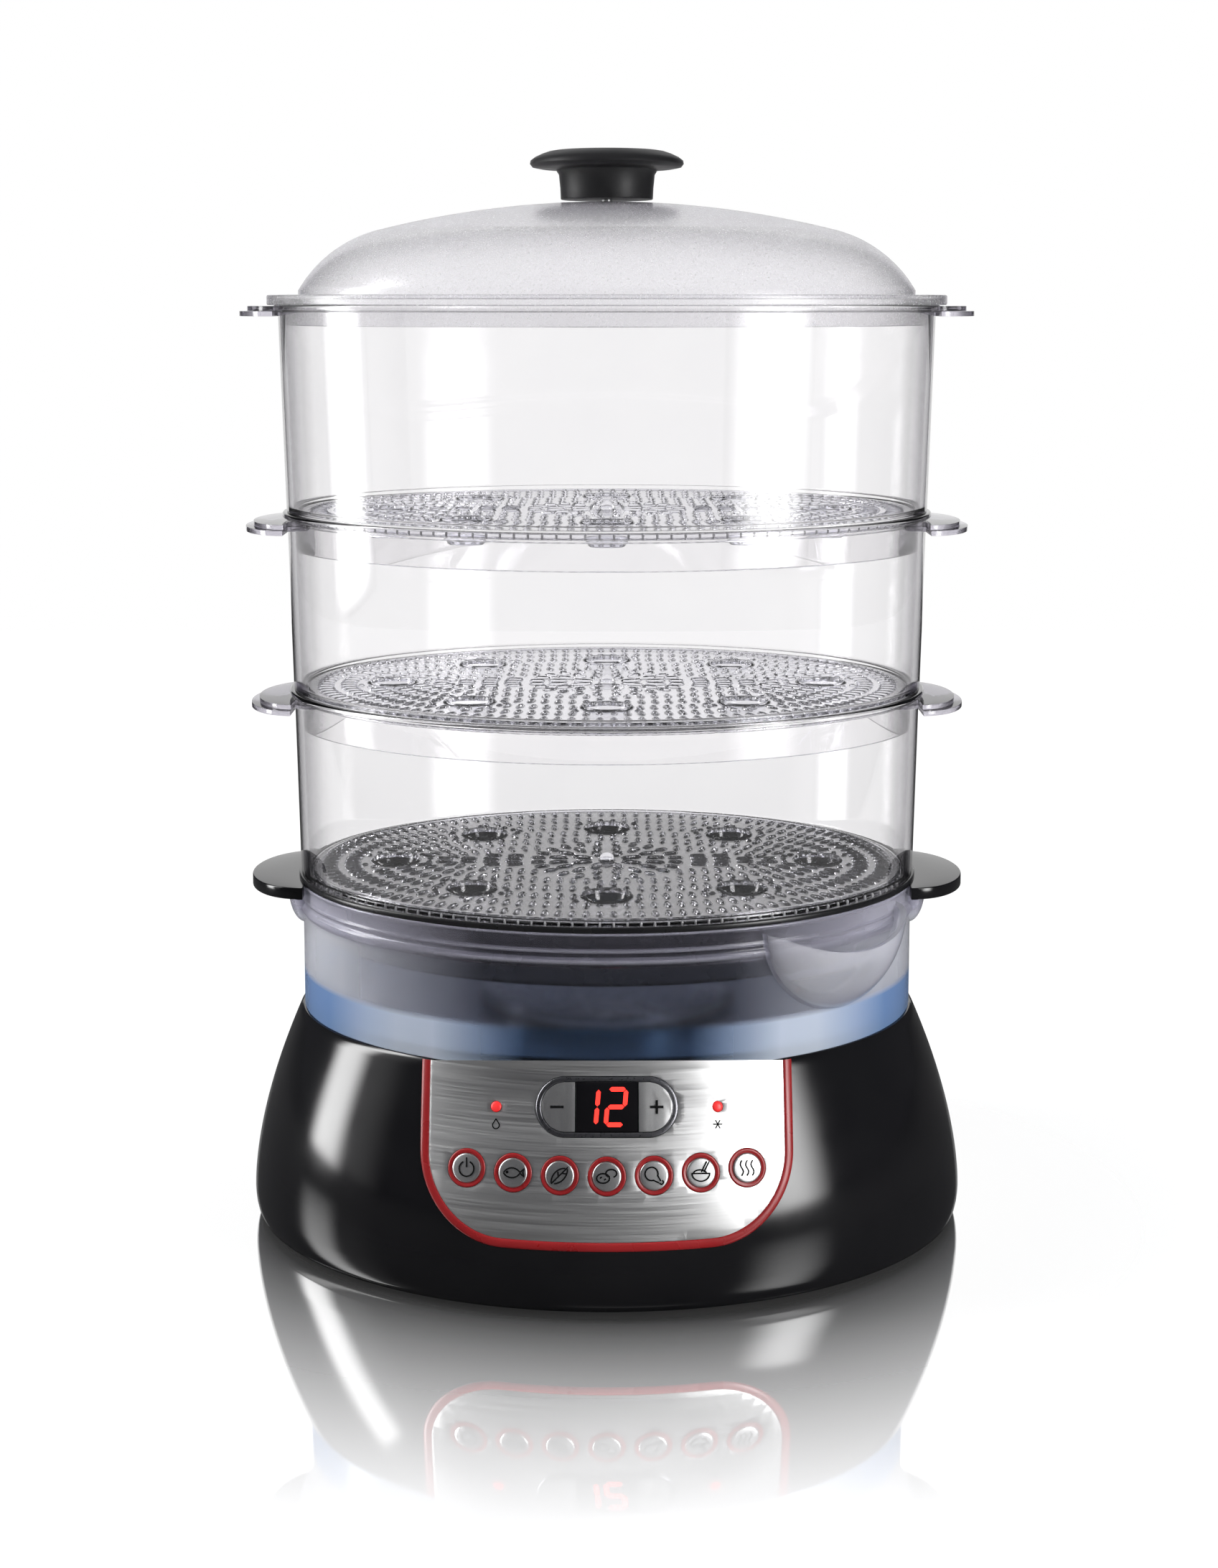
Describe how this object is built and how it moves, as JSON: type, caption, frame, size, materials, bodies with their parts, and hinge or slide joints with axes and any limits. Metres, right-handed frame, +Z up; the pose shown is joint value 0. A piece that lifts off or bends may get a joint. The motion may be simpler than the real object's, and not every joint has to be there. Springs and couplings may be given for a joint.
{
  "type": "electric food steamer",
  "caption": "Oval countertop food steamer: black base with keypad and display, frosted water tank with spout, stacked clear bowls on perforated plates, domed lid with knob.",
  "frame": {"origin": "on the surface that the feet stand on, under the middle of the base", "axes": "+Z up; the control panel faces -Y; +X is to the right of someone who faces the panel"},
  "size_m": [0.283, 0.2249, 0.418],
  "materials": {
    "gloss_black": "polished moulded black plastic",
    "satin_black": "fine-textured black plastic",
    "brushed_steel": "brushed along X",
    "key_silver": "satin silver caps",
    "red_trim": "dark red",
    "red_lens": "translucent red",
    "window_black": "smoked window",
    "bezel_grey": "silver-grey rim",
    "circuit_board": "green laminate",
    "component_grey": "electrical parts",
    "steel": "zinc-plated screws and nuts",
    "stainless": "spun stainless plate",
    "aluminium": "cast sheath",
    "foot_rubber": "soft feet",
    "silicone": "translucent silicone seal",
    "frosted_clear": "frosted polycarbonate, blue low down",
    "clear_bowl": "clear polycarbonate, faint violet",
    "frosted_lid": "frosted polycarbonate dome",
    "clear_plate": "clear polycarbonate plate"
  },
  "bodies": {
    "base": {"base_housing": "gloss_black", "bottom_cover": "satin_black", "rubber_feet": "foot_rubber", "cover_screws": "steel", "panel_trim": "red_trim", "control_panel": "brushed_steel", "key_rings": "red_trim", "display_bezel": "bezel_grey", "display_window": "window_black", "display_module": "component_grey", "control_board": "circuit_board", "tact_switches": "component_grey", "lamp_leds": "component_grey", "refill_lamp": "red_lens", "descale_lamp": "red_lens", "power_board": "circuit_board", "transformer": "component_grey", "mains_relay": "component_grey", "board_screws": "steel", "cord_gland": "satin_black", "water_tank": "frosted_clear", "tank_seal": "silicone", "heater_plate": "stainless", "heater_clamp": "steel", "clamp_nuts": "steel", "heating_element": "aluminium", "thermostat": "component_grey"},
    "drip_tray": {"drip_tray": "gloss_black"},
    "bowl_1": {"bowl_1": "clear_bowl"},
    "bowl_plate_1": {"bowl_plate_1": "clear_plate"},
    "bowl_2": {"bowl_2": "clear_bowl"},
    "bowl_plate_2": {"bowl_plate_2": "clear_plate"},
    "bowl_3": {"bowl_3": "clear_bowl"},
    "bowl_plate_3": {"bowl_plate_3": "clear_plate"},
    "lid": {"lid": "frosted_lid", "lid_knob": "satin_black", "knob_screw": "steel"},
    "start_stop_key": {"start_stop_key": "key_silver"},
    "program_key_1": {"program_key_1": "key_silver"},
    "program_key_2": {"program_key_2": "key_silver"},
    "program_key_3": {"program_key_3": "key_silver"},
    "program_key_4": {"program_key_4": "key_silver"},
    "program_key_5": {"program_key_5": "key_silver"},
    "keep_warm_key": {"keep_warm_key": "key_silver"},
    "minus_key": {"minus_key": "key_silver"},
    "plus_key": {"plus_key": "key_silver"}
  },
  "joints": [
    {"name": "drip_tray_lift", "type": "slide", "parent": "base", "child": "drip_tray", "axis": [0, 0, 1], "range_m": [0, 0.045]},
    {"name": "bowl_1_lift", "type": "slide", "parent": "drip_tray", "child": "bowl_1", "axis": [0, 0, 1], "range_m": [0, 0.03]},
    {"name": "bowl_plate_1_lift", "type": "slide", "parent": "bowl_1", "child": "bowl_plate_1", "axis": [0, 0, 1], "range_m": [0, 0.045]},
    {"name": "bowl_2_lift", "type": "slide", "parent": "bowl_1", "child": "bowl_2", "axis": [0, 0, 1], "range_m": [0, 0.04]},
    {"name": "bowl_plate_2_lift", "type": "slide", "parent": "bowl_2", "child": "bowl_plate_2", "axis": [0, 0, 1], "range_m": [0, 0.045]},
    {"name": "bowl_3_lift", "type": "slide", "parent": "bowl_2", "child": "bowl_3", "axis": [0, 0, 1], "range_m": [0, 0.04]},
    {"name": "bowl_plate_3_lift", "type": "slide", "parent": "bowl_3", "child": "bowl_plate_3", "axis": [0, 0, 1], "range_m": [0, 0.045]},
    {"name": "lid_lift", "type": "slide", "parent": "bowl_3", "child": "lid", "axis": [0, 0, 1], "range_m": [0, 0.06]},
    {"name": "start_stop_key_press", "type": "slide", "parent": "base", "child": "start_stop_key", "axis": [0, 0.9511, -0.309], "range_m": [0, 0.0007], "stiffness_N_per_m": 600, "springref_m": -0.0007},
    {"name": "program_key_1_press", "type": "slide", "parent": "base", "child": "program_key_1", "axis": [0, 0.9511, -0.309], "range_m": [0, 0.0007], "stiffness_N_per_m": 600, "springref_m": -0.0007},
    {"name": "program_key_2_press", "type": "slide", "parent": "base", "child": "program_key_2", "axis": [0, 0.9511, -0.309], "range_m": [0, 0.0007], "stiffness_N_per_m": 600, "springref_m": -0.0007},
    {"name": "program_key_3_press", "type": "slide", "parent": "base", "child": "program_key_3", "axis": [0, 0.9511, -0.309], "range_m": [0, 0.0007], "stiffness_N_per_m": 600, "springref_m": -0.0007},
    {"name": "program_key_4_press", "type": "slide", "parent": "base", "child": "program_key_4", "axis": [0, 0.9511, -0.309], "range_m": [0, 0.0007], "stiffness_N_per_m": 600, "springref_m": -0.0007},
    {"name": "program_key_5_press", "type": "slide", "parent": "base", "child": "program_key_5", "axis": [0, 0.9511, -0.309], "range_m": [0, 0.0007], "stiffness_N_per_m": 600, "springref_m": -0.0007},
    {"name": "keep_warm_key_press", "type": "slide", "parent": "base", "child": "keep_warm_key", "axis": [0, 0.9511, -0.309], "range_m": [0, 0.0007], "stiffness_N_per_m": 600, "springref_m": -0.0007},
    {"name": "minus_key_press", "type": "slide", "parent": "base", "child": "minus_key", "axis": [0, 0.9511, -0.309], "range_m": [0, 0.0007], "stiffness_N_per_m": 600, "springref_m": -0.0007},
    {"name": "plus_key_press", "type": "slide", "parent": "base", "child": "plus_key", "axis": [0, 0.9511, -0.309], "range_m": [0, 0.0007], "stiffness_N_per_m": 600, "springref_m": -0.0007}
  ]
}
